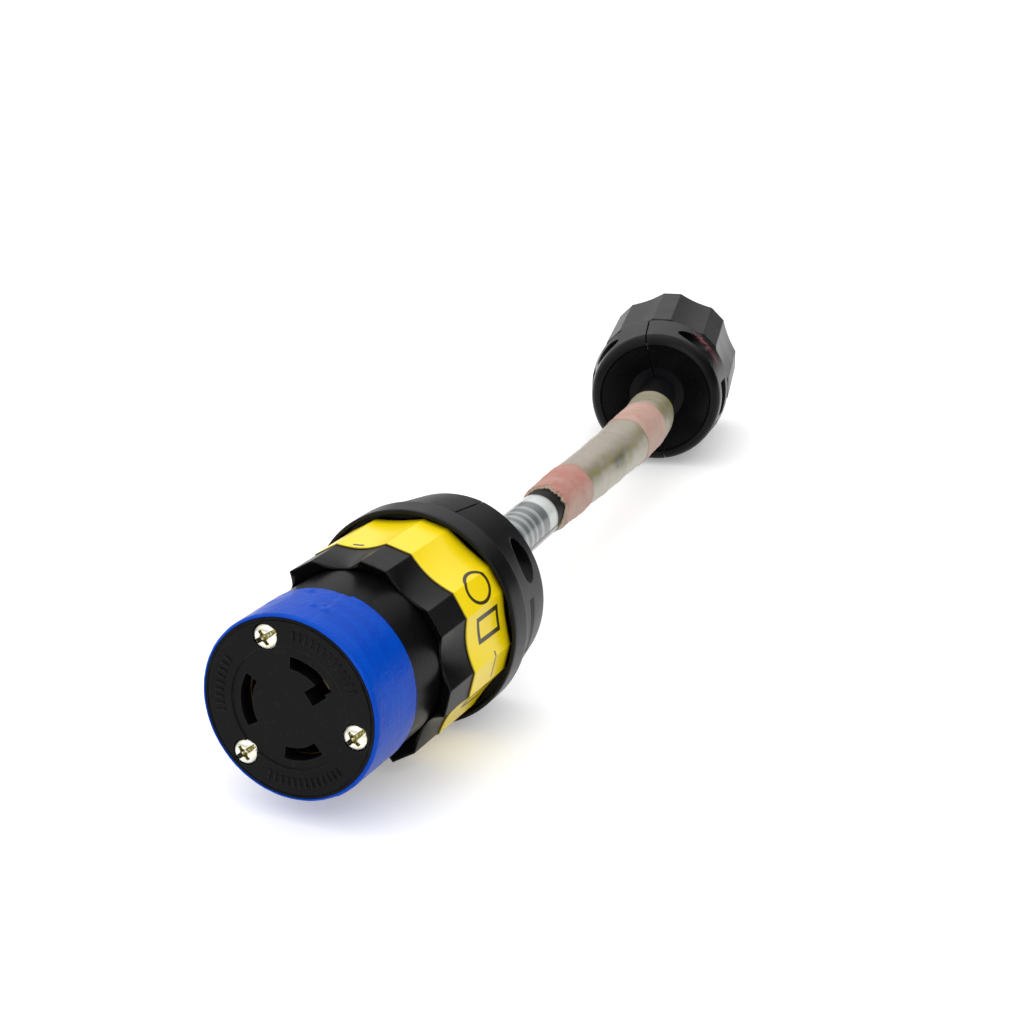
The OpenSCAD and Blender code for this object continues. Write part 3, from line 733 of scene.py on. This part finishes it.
def grip_profile():
    """The grip shell from its front edge back over the collar and forward again inside."""
    def on_front(r):
        return GRIP_FRONT + UNDERCUT / (GRIP_R - NECK_R) * (GRIP_R - r)

    inmost = GRIP_BORE_R + 0.05
    points = plain([(on_front(inmost), inmost)])
    for r in (22.6, 23.6, 24.6):
        share = (r - GRIP_BORE_R) / (GRIP_R - GRIP_BORE_R)
        points.append((on_front(r), r, share, share))
    # The front edge, slightly rounded
    points += [(GRIP_FRONT + back, GRIP_R - down, 1.0, 1.0)
               for back, down in ((0.45, 0.55), (0.06, 0.1), (0.12, 0), (0.6, 0))]
    points += [(s, GRIP_R, 1.0, max(0.0, 1 - (s - GRIP_FRONT) / 7))
               for s in (30, 31.5, 33, 35, 37.5, 40, 43, 46, 49, 52, 55, 58, 61)]
    # The rear edge flares out into the collar
    points += [(GRIP_REAR - 0.1, GRIP_R, 1.0, 0.0), (GRIP_REAR, GRIP_R + 0.15, 1.0, 0.0)]
    root, front_in = (GRIP_REAR, CLAMP_R - COLLAR_WALL), (COLLAR_FRONT, CLAMP_R - COLLAR_WALL)
    front_out, rear_out = (COLLAR_FRONT, CLAMP_R), (CLAMP_FRONT, CLAMP_R)
    return points + plain([
        *rounded(root, (GRIP_REAR, GRIP_R), front_in, 0.3),
        *rounded(front_in, root, front_out, 0.4),
        *rounded(front_out, front_in, rear_out, 0.5),
        (60.5, CLAMP_R), (62.5, CLAMP_R), (64.5, CLAMP_R),
        *rounded(rear_out, front_out, (CLAMP_FRONT, LIP_R), 0.25),
        (CLAMP_FRONT, LIP_R), (LIP_FRONT, LIP_R), (LIP_FRONT, GRIP_CHAMBER_R),
        (FACE_DEPTH, GRIP_CHAMBER_R), (FACE_DEPTH, GRIP_BORE_R)])


def plug_profile():
    """The plug's shell from its rounded front edge back to the clamp, and forward again inside."""
    outside = [(1.2, PLUG_R - 1.6), (1.3, PLUG_R - 1.0), (1.7, PLUG_R - 0.35), (2.3, PLUG_R - 0.03)]
    outside += [(s, PLUG_R) for s in (3.2, 6, 10, 15, 20, 25, 30, 35, 40, 43)]
    outside += [(PLUG_CLAMP_FRONT - 0.35, PLUG_R), (PLUG_CLAMP_FRONT - 0.08, PLUG_R - 0.1),
                (PLUG_CLAMP_FRONT, PLUG_R - 0.4)]
    return [*plain([(1.2, PLUG_SOCKET_R)]), *((s, r, 1.0, 0.0) for s, r in outside), *plain([
        (PLUG_CLAMP_FRONT, PLUG_LIP_R), (PLUG_LIP_FRONT, PLUG_LIP_R),
        (PLUG_LIP_FRONT, PLUG_CHAMBER_R), (PLUG_BLOCK, PLUG_CHAMBER_R),
        (PLUG_BLOCK, PLUG_SOCKET_R)])]


def lay_grip(rule, finish):
    """The grip's shell, and the label that follows its flutes."""
    sizes = dict(
        Lands=LANDS, Land_span=LAND_SPAN, Land_angle=GRIP_LAND_ANGLE, Radius=GRIP_R, Neck=NECK_R,
        Undercut=UNDERCUT, Flute_front=FLUTE_FRONT, Flute_rear=FLUTE_REAR, Front=GRIP_FRONT,
        Rear=GRIP_REAR, Back=CONNECTOR_BACK)
    columns = land_columns(GRIP_LAND_ANGLE)
    mesh = turned("grip_shell", grip_profile(), columns, on_connector)
    shell = grown("grip_shell", mesh, rule, finish, "black_shell", **sizes)
    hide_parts("connector_grip")

    rows = 24
    stations = [LABEL_FRONT + (LABEL_REAR - LABEL_FRONT) * i / rows for i in range(rows + 1)]
    profile = [(s, GRIP_R + WRAP, 1.0, 0.0) for s in stations]
    profile += [(s, GRIP_R + LABEL_GAP, 1.0, 0.0) for s in reversed(stations)]
    mesh = turned("label_wrap", profile, columns, on_connector)
    label = grown(
        "label_wrap", mesh, rule, laminated_label(), "yellow_label", Wrinkle=0.07, **sizes)
    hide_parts("grip_label")


def lay_plug_shell(rule, finish):
    mesh = turned("plug_shell", plug_profile(), land_columns(0), on_plug)
    shell = grown(
        "plug_shell", mesh, rule, finish, "black_shell", Lands=LANDS, Land_span=LAND_SPAN,
        Radius=PLUG_R, Flute_front=PLUG_FLUTE, Flute_rear=PLUG_FLUTE, Rear=PLUG_CLAMP_FRONT,
        Back=PLUG_BACK)
    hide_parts("plug_housing")


# Screws

def screw_mesh(name, head_r, shank):
    """A pan head with a slot right across it and a crossed recess, its seat at height 0. The mesh
    keeps how deep each point has been sunk, as a mask for painted shade in the recess."""
    sides, rings = 120, 40
    crown = SCREW_HEAD * 0.75
    rim = SCREW_HEAD - crown

    def circle(r):
        return [(r * cos(TURN * k / sides), r * sin(TURN * k / sides))
                for k in range(sides)]

    def sink(x, y):
        """Depth of the recess, with steep walls."""
        u, v = abs(x), abs(y)
        slot = clip((0.56 - v) / 0.1)
        cross = clip((0.52 - min(u, v)) / 0.12) * clip((head_r * 0.62 - max(u, v)) / 0.3)
        hub = clip((1.05 - hypot(x, y)) / 0.35)
        return max(slot * 1.25, cross * 1.15, hub * 1.4)

    verts, recess_shade = [], []
    for i in range(rings + 1):
        r = head_r * sqrt(i / rings) * 0.985
        edge = max(0.0, r - (head_r - crown))
        top = rim + sqrt(max(0.0, crown ** 2 - edge ** 2)) * (1 - 0.1 * (r / head_r) ** 2)
        for x, y in circle(r) if i else [(0, 0)]:
            floor = SCREW_HEAD - sink(x, y)
            verts.append((x, y, min(top, floor)))
            # Only one end of the slot counts as more than half sunk, and takes a painted shadow
            recess_shade.append(min(max((top - floor) * 3, 0.0), 0.5 if x > -1.5 else 1.0))
    for r, z in ((head_r, rim - 0.1), (head_r, 0), (SCREW_SHANK_R, 0), (SCREW_SHANK_R, 1 - shank),
                 (SCREW_TIP_R, -shank)):
        verts += [(x, y, z) for x, y in circle(r)]
    recess_shade += [0.0] * (len(verts) - len(recess_shade))

    faces = [(0, 1 + k, 1 + (k + 1) % sides) for k in range(sides)]
    last = len(verts) - sides
    for first in range(1, last, sides):
        for k in range(sides):
            a, b = first + k, first + (k + 1) % sides
            faces.append((a, a + sides, b + sides, b))
    faces.append(tuple(range(last, last + sides)))
    mesh = bpy.data.meshes.new(name)
    mesh.from_pydata([tuple(c * MM for c in v) for v in verts], [], faces)
    mesh.attributes.new("recess_shade", "FLOAT", "POINT").data.foreach_set("value", recess_shade)
    mesh.shade_smooth()
    face_outwards(mesh)
    return mesh


def ring_rule():
    """Repeats a part along a circle, each turned a little more, and stands the ring up."""
    rule = Rule("ring_of_parts")
    count, circle, first, span, lean, turn = rule.sizes(
        "Count", "Circle", "First angle", "Span", "Lean", "Turn step")
    place = rule.add("Place", "NodeSocketVector")
    stand = rule.add("Stand", "NodeSocketRotation")
    index = Num(rule.tree, rule.node("GeometryNodeInputIndex").outputs[0])
    angle = (first + index * span / count).math("RADIANS")
    reach = circle * MM
    x, y = angle.math("COSINE") * reach, angle.math("SINE") * reach
    spot = rule.node("ShaderNodeCombineXYZ", X=x, Y=y)
    points = rule.node("GeometryNodePoints", Count=count, Position=spot)
    spin = rule.node("ShaderNodeCombineXYZ", Z=(lean + index * turn).math("RADIANS"))
    ring = rule.node(
        "GeometryNodeInstanceOnPoints", Points=points, Instance=rule.source, Rotation=spin)
    return rule.end_with(rule.node(
        "GeometryNodeTransform", Geometry=ring, Translation=place, Rotation=stand))


def set_screws(rule, finish):
    """Three long screws in the connector's face and three shorter ones in the plug's."""
    ring = grown(
        "face_screw_ring", screw_mesh("face_screw", head_r=3.1, shank=49), rule, finish,
        "zinc_screw", Count=3, Circle=17, First_angle=107.5, Span=360, Lean=33, Turn_step=5,
        Place=tuple(on_connector(0, 0, FACE_SCREW_SEAT)), Stand=CONNECTOR_STAND)
    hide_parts("face_screws")
    ring = grown(
        "plug_screw_ring", screw_mesh("plug_screw", head_r=3, shank=20.5), rule, finish,
        "zinc_screw", Count=3, Circle=16.3, First_angle=90, Span=360, Lean=10, Turn_step=51,
        Place=tuple(on_plug(0, 0, PLUG_SCREW_SEAT)), Stand=PLUG_STAND)
    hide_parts("plug_face_screws")


def bar_mesh(length, width, height):
    """A short raised bar with sloping sides, whose foot is sunk in what carries it."""
    foot, slope = 0.2, 0.12
    verts = []
    for z, less in ((-foot, 0), (height - slope, 0), (height, slope)):
        for x, y in ((-1, -1), (1, -1), (1, 1), (-1, 1)):
            verts.append((x * (length / 2 - less) * MM, y * (width / 2 - less) * MM, z * MM))
    faces = [(0, 1, 2, 3), (8, 9, 10, 11)]
    for low in (0, 4):
        for k in range(4):
            h = (k + 1) % 4
            faces.append((low + k, low + h, low + h + 4, low + k + 4))
    mesh = bpy.data.meshes.new("raised_bar")
    mesh.from_pydata(verts, [], faces)
    face_outwards(mesh)
    return mesh


def set_raised_bars(rule, finish):
    """Plain raised bars on the outer ring of the mating face."""
    for name, count, first, span in (
            ("upper", 13, 84, -66), ("left", 9, 148, 48), ("lower", 13, 252, 66)):
        bar = bar_mesh(length=2.1, width=0.6, height=0.28)
        grown(name + "_face_bars", bar, rule, finish, "black_shell", Count=count, Circle=17.6,
              First_angle=first, Span=span, Lean=first, Turn_step=span / count,
              Place=tuple(on_connector(0, 0, 0)), Stand=CONNECTOR_STAND)


# Tape on the neck

# Bubbles under the tape, each with its angle and station, its width and its height
BUBBLES = ((95.2, 15.2, 0.8, 0.5), (83.2, 8.1, 0.7, 0.45), (75.5, 7.7, 0.9, 0.4),
           (118, 11, 1.3, 0.15), (79, 9.8, 0.5, 0.3))


def lay_tape():
    """Blue tape with a second layer, small bubbles and a folded front lip."""
    sides, rows = 320, 44
    angles = [360 * i / sides for i in range(sides)]
    rings, marks = [], []

    def add_ring(mark, point):
        rings.append([on_connector(*point(d)) for d in angles])
        marks.append(mark)

    for a in (60, 52, 44, 35, 26, 17, 8, 0):
        r, s = fold(a, NECK_FOLD_R + WRAP)
        add_ring(s, lambda d: (tape_surface(r, d, s), d, s + 0.05 * cloud(d * 0.3, 3, 1)))
    for i in range(1, rows + 1):
        part = i / rows
        s = NECK_FOLD_R + (TAPE_REAR - NECK_FOLD_R) * part
        add_ring(s, lambda d: (
            tape_surface(NECK_R + WRAP, d, s), d, s + part ** 4 * rear_edge(d)))
    add_ring(TAPE_REAR, lambda d: (NECK_R, d, TAPE_REAR + rear_edge(d)))
    add_ring(NECK_FOLD_R, lambda d: (NECK_R, d, NECK_FOLD_R))
    for a in (20, 40, 60):
        r, s = fold(a, NECK_FOLD_R)
        add_ring(s, lambda d: (r, d, s))
    rings.append(rings[0])
    marks.append(marks[0])
    tape = piece("tape_wrap", loft("tape_wrap", rings, marks), vinyl_tape())
    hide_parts("blue_tape")


def fold(angle, reach):
    """Radius and station of a point on the fold, at a reach from the middle of its rounding."""
    a = radians(angle)
    return NECK_R - NECK_FOLD_R + reach * cos(a), NECK_FOLD_R - reach * sin(a)


def tape_surface(r, angle, station):
    """Radius of the tape's outside, where one smooth layer would have the radius r."""
    over = (lap_start(station) - angle) / 0.7 if angle < 180 else (angle - 300) / 1.5
    swell = 0.0
    for middle, at, wide, high in BUBBLES:
        far = hypot((angle - middle) * NECK_MM_A_DEGREE, station - at)
        swell += high * exp(-(far / wide) ** 2)
    pleat = 0.05 * cloud(angle * 0.14, station * 0.1, 5)
    crease = 0.04 * cloud(angle * 0.5, station * 0.35, 2)
    return r + SECOND_LAYER * clip(over) + swell + pleat + crease


def lap_start(station):
    """Angle at which the tape's second layer starts, a slightly slanted cut."""
    return 76 + 0.25 * (station - 9)


def rear_edge(angle):
    """How far the tape's rear edge lies behind its mean: a step between its layers, and uneven."""
    step = 0.9 if angle < 73 or angle > 300 else 0
    return step - 0.45 + 0.12 * cloud(angle * 0.06, 1, 9)


# Cord

class Line:
    """The cord's centre line: a smooth curve through the route, measured in millimetres."""

    def __init__(self, route):
        self.points = []
        self.marks = []
        steps = 10
        for i in range(len(route) - 1):
            a, b, c, d = (route[min(max(i + k, 0), len(route) - 1)] for k in (-1, 0, 1, 2))
            self.marks.append(len(self.points))
            for t in (k / steps for k in range(steps)):
                bend, twist = 2 * a - 5 * b + 4 * c - d, 3 * b - a - 3 * c + d
                self.points.append(0.5 * (2 * b + (c - a) * t + bend * t * t + twist * t ** 3))
        self.marks.append(len(self.points))
        self.points.append(route[-1].copy())
        self.lengths = [0.0]
        for a, b in zip(self.points, self.points[1:]):
            self.lengths.append(self.lengths[-1] + (b - a).length)

    def stretch(self, ends):
        """Lengths along the cord at two points of the route."""
        return [self.lengths[self.marks[index]] for index in ends]

    def around(self, length, angle, r):
        """A point in metres, off the line by a radius at an angle."""
        length = min(max(length, 0.0), self.lengths[-1])
        i = 0
        while i < len(self.lengths) - 2 and self.lengths[i + 1] < length:
            i += 1
        part = (length - self.lengths[i]) / (self.lengths[i + 1] - self.lengths[i])
        centre = self.points[i].lerp(self.points[i + 1], part)
        after = self.points[min(i + 2, len(self.points) - 1)]
        ahead = (after - self.points[max(i - 1, 0)]).normalized()
        right = ahead.cross(Vector((0, 0, 1))).normalized()
        a = radians(angle)
        return (centre + r * (cos(a) * right + sin(a) * right.cross(ahead))) * MM


CORD = Line(ROUTE)


def lay_cord():
    """The jacket and everything wrapped round it."""
    total = CORD.lengths[-1]
    steps, sides = 150, 64
    marks = [total * i / steps for i in range(steps + 1)]
    rings = [[CORD.around(mark, 360 * i / sides, CORD_R) for i in range(sides)] for mark in marks]
    cover = rubber("jacket_rubber", (0.006, 0.0055, 0.0065))
    jacket = piece("jacket", loft("jacket", rings, marks), cover)
    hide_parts("cord_jacket")

    label = lay_wrap(
        "cord_label_wrap", CORD.stretch(LABEL_ENDS), label_radius, 1.5, cord_label_film())
    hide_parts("cord_label")
    start, end = CORD.stretch(SLEEVE_ENDS)
    sleeve = lay_wrap(
        "sleeve_wrap", (start, end), sleeve_radius, 0.8, sleeve_film(end),
        rear=uneven_end(43, 3, 0.6))
    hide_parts("tape_sleeve")
    torn = lay_wrap(
        "torn_lining", (start - 1.2, start + 6), torn_radius, 0.4, torn_paper(),
        sides=180, front=torn_edge)
    start, end = CORD.stretch(FRONT_BAND_ENDS)
    front_band = lay_wrap(
        "pink_band_front_wrap", (start - 0.8, end), band_radius(11), 0.5,
        cloth_tape("pink_tape_front", *FRONT_PINKS), sides=180, front=band_front,
        rear=uneven_end(19, 2, 0.9))
    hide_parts("pink_band_front")
    rear_band = lay_wrap(
        "pink_band_rear_wrap", CORD.stretch(REAR_BAND_ENDS), band_radius(23), 0.7,
        cloth_tape("pink_tape_rear", *REAR_PINKS), front=uneven_end(32, 2, 1.2),
        rear=uneven_end(39, 2, 1.4))
    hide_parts("pink_band_rear")

    on_connector(0, 0, CLAMP_REAR)


def straight_end(angle):
    return 0


def uneven_end(slice_at, size, reach):
    """An end that wavers along the cord, up to a reach."""
    return lambda angle: ripple(angle, slice_at, size) * reach


def lay_wrap(name, span, outer, step, finish, sides=96, front=straight_end,
             rear=straight_end):
    """A closed wrap round the cord, over a span of it. outer(angle, length) is its radius, and
    front and rear shift its ends along the cord by a length that depends on the angle."""
    start, end = span
    count = max(2, round((end - start) / step))
    lengths = [start + (end - start) * i / count for i in range(count + 1)]

    def ring(length, radius):
        part = (length - start) / (end - start)
        points = []
        for angle in (360 * i / sides for i in range(sides)):
            here = length + front(angle) * (1 - part) ** 6 + rear(angle) * part ** 6
            points.append(CORD.around(here, angle, radius(angle, here)))
        return points

    rings = [ring(length, outer) for length in lengths]
    rings += [ring(length, lambda angle, here: CORD_R) for length in (end, start)]
    rings.append(rings[0])
    return piece(name, loft(name, rings, [*lengths, end, start, start]), finish)


def ripple(angle, slice_at, size):
    """Smooth unevenness round a wrap, the same at 0 and 360 degrees."""
    a = radians(angle)
    return cloud(cos(a) * size, sin(a) * size, slice_at)


def label_radius(angle, length):
    lap = 0.3 * clip((angle - 285) / 50) if angle < LAP_END else 0
    return CORD_R + 0.2 + lap + ripple(angle, length * 0.12 + 5, 1.5) * 0.06


def sleeve_radius(angle, length):
    """The sleeve is wound in turns, uneven, and rounded off at its two ends."""
    start, end = CORD.stretch(SLEEVE_ENDS)
    turns = sin(length * 0.9 + radians(angle)) * 0.05
    uneven = ripple(angle, length * 0.09 + 2, 1.6) * 0.28
    inside = clip((min(length - start, end - length) + 0.3) / 1.2)
    return sleeve_body(length) - 0.35 * (1 - inside) + turns + uneven


def sleeve_body(length):
    """The sleeve thickens from its front end to where the rear band starts."""
    start, full = CORD.stretch((SLEEVE_ENDS[0], REAR_BAND_ENDS[0]))
    part = clip((length - start) / (full - start))
    return SLEEVE_FRONT_R + (SLEEVE_REAR_R - SLEEVE_FRONT_R) * part


def band_radius(seed):
    """Radius of a tape band: it lies on the sleeve, with its own creases."""
    def radius(angle, length):
        creases = abs(ripple(angle, length * 0.35 + seed, 3.2)) * 0.22
        return sleeve_radius(angle, length) + 0.2 + creases
    return radius


def band_front(angle):
    """The front band follows the torn edge just behind it and leaves it bare low on the right."""
    low = max(0.0, cos(radians(angle - 312))) ** 8
    return torn_edge(angle) + 0.3 + low * 4.5 + ripple(angle, 12, 2.5) * 0.4


def torn_edge(angle):
    """The lining's torn edge: jags, fine teeth and one tongue that reaches forward."""
    jag = abs(ripple(angle, 3.3, 3.6)) * 2.4
    teeth = ripple(angle, 5.1, 13) * 0.5
    tongue = 2.6 * max(0, cos(radians(angle - 322))) ** 6
    return jag + teeth - tongue


def torn_radius(angle, length):
    """The lining rises from the cord to just under the sleeve."""
    start, _ = CORD.stretch(SLEEVE_ENDS)
    rise = clip((length - start + 1.5) / 4.5)
    uneven = ripple(angle, length * 0.4 + 6, 4) * 0.12
    return CORD_R + 0.5 + (SLEEVE_FRONT_R - CORD_R - 0.6) * rise + uneven


# Light and floor

def set_light():
    """Plain soft studio light: a bright sky above, a dimmer one in front, and two soft boxes."""
    scene = bpy.context.scene
    scene.view_settings.view_transform = "Standard"
    scene.world = bpy.data.worlds.new("studio")
    scene.world.use_nodes = True
    studio = Builder(scene.world.node_tree)
    x, y, z = studio.parts(studio.node("ShaderNodeTexCoord").outputs["Generated"])
    above = x * -0.35 + y * 0.1 + z
    front = x * 0.3 - y
    strength = above.ramp(0.3, 0.55) * 1.05 + front.ramp(0.1, 0.9) * 0.55 + 0.05
    background = studio.tree.nodes["Background"]
    fill(studio.tree, background.inputs["Strength"], strength)
    fill(studio.tree, background.inputs["Color"], (1, 1, 1))
    soft_box("soft_box_top", place=(-0.1, 0.1, 1.4), target=(0, 0, 0), side=1.1, watts=3.5)
    soft_box("soft_box_right", place=(0.9, -0.9, 0.8), target=(0, -0.1, 0), side=0.8, watts=4)


def soft_box(name, place, target, side, watts):
    data = bpy.data.lights.new(name, "AREA")
    data.shape = "RECTANGLE"
    data.size = data.size_y = side
    data.energy = watts
    lamp = add_object(name, data)
    lamp.location = place
    lamp.rotation_euler = (Vector(target) - Vector(place)).to_track_quat("-Z", "Y").to_euler()


def lay_floor():
    """A pale floor, which the camera and reflections see brighter, with the object's shadow."""
    reach = 20
    mesh = bpy.data.meshes.new("floor")
    corners = [(x * reach, y * reach, 0) for x, y in ((-1, -1), (1, -1), (1, 1), (-1, 1))]
    mesh.from_pydata(corners, [], [(0, 1, 2, 3)])
    f = Finish("pale_floor")
    rays = f.node("ShaderNodeLightPath").outputs
    camera, glossy, through = (Num(f.tree, rays[name]) for name in (
        "Is Camera Ray", "Is Glossy Ray", "Is Transmission Ray"))
    seen = (camera + glossy + through).clamped()
    mesh.materials.append(f.set(
        Base_Color=FLOOR_GREY, Roughness=0.9, Specular_IOR_Level=0.0, Emission_Color=(1, 1, 1),
        Emission_Strength=seen * 0.3))
    add_object("floor", mesh)


# CAD pieces

def paint(material, *nodes):
    """CAD pieces whose shape is right keep it and take a finish."""
    for name in nodes:
        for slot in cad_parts[name].material_slots:
            slot.material = material


def dress_cad_pieces():
    """Finishes for the CAD pieces that stay. The zinc and the block's plastic are used again."""
    paint(moulded_plastic("clamp_nylon", NYLON_BLACK, 0.33, gloss=0.08),
          "connector_clamp_right", "connector_clamp_left")
    paint(scuffed_nylon(), "plug_clamp_right", "plug_clamp_left")
    block = moulded_plastic("block_plastic", (0.0045, 0.0045, 0.005), 0.34, gloss=0.09)
    paint(block, "connector_face", "plug_face")
    paint(moulded_plastic("inner_plastic", (0.012, 0.012, 0.013), 0.5),
          "connector_retainer", "plug_retainer")
    # The slot contacts take a dark brass tone: painted shade for the depth of the slots
    paint(plated_metal("contact_brass", (0.2, 0.14, 0.06), 0.45, tarnish=(0.08, 0.055, 0.03)),
          "connector_contact_hot", "connector_contact_neutral", "connector_contact_ground")
    paint(plated_metal("blade_brass", (0.78, 0.6, 0.28), 0.35, tarnish=(0.5, 0.36, 0.16)),
          "connector_terminal_brass", "plug_blade_hot", "plug_ground_pin", "plug_terminal_brass")
    paint(plated_metal("nickel_plate", (0.72, 0.7, 0.66), 0.3, tarnish=(0.5, 0.48, 0.44)),
          "connector_terminal_nickel", "plug_blade_neutral", "plug_terminal_nickel")
    zinc = plated_metal("zinc_plate", (0.93, 0.91, 0.84), 0.3, tarnish=(0.8, 0.74, 0.52),
                        deep=(0.2, 0.17, 0.03))
    paint(zinc, "connector_clamp_screws", "plug_clamp_screws")
    paint(plated_metal("green_plate", (0.1, 0.4, 0.15), 0.35, tarnish=(0.05, 0.2, 0.08)),
          "connector_terminal_green", "plug_terminal_green")
    paint(rubber("seal_rubber", (0.012, 0.012, 0.012)), "connector_cord_seal", "plug_cord_seal")
    for colour, *tone in (
            ("black", 0.03, 0.03, 0.03), ("white", 0.8, 0.8, 0.76), ("green", 0.06, 0.3, 0.1)):
        paint(insulation(colour + "_insulation", tone),
              "connector_lead_" + colour, "plug_lead_" + colour)
    return zinc, block


aim_camera()
lay_cord()
shell_nylon = moulded_plastic("shell_nylon", NYLON_BLACK, 0.32)
fluted = fluted_rule()
lay_grip(fluted, shell_nylon)
lay_plug_shell(fluted, shell_nylon)
lay_tape()
zinc, block = dress_cad_pieces()
ring = ring_rule()
set_screws(ring, zinc)
set_raised_bars(ring, block)
set_light()
lay_floor()
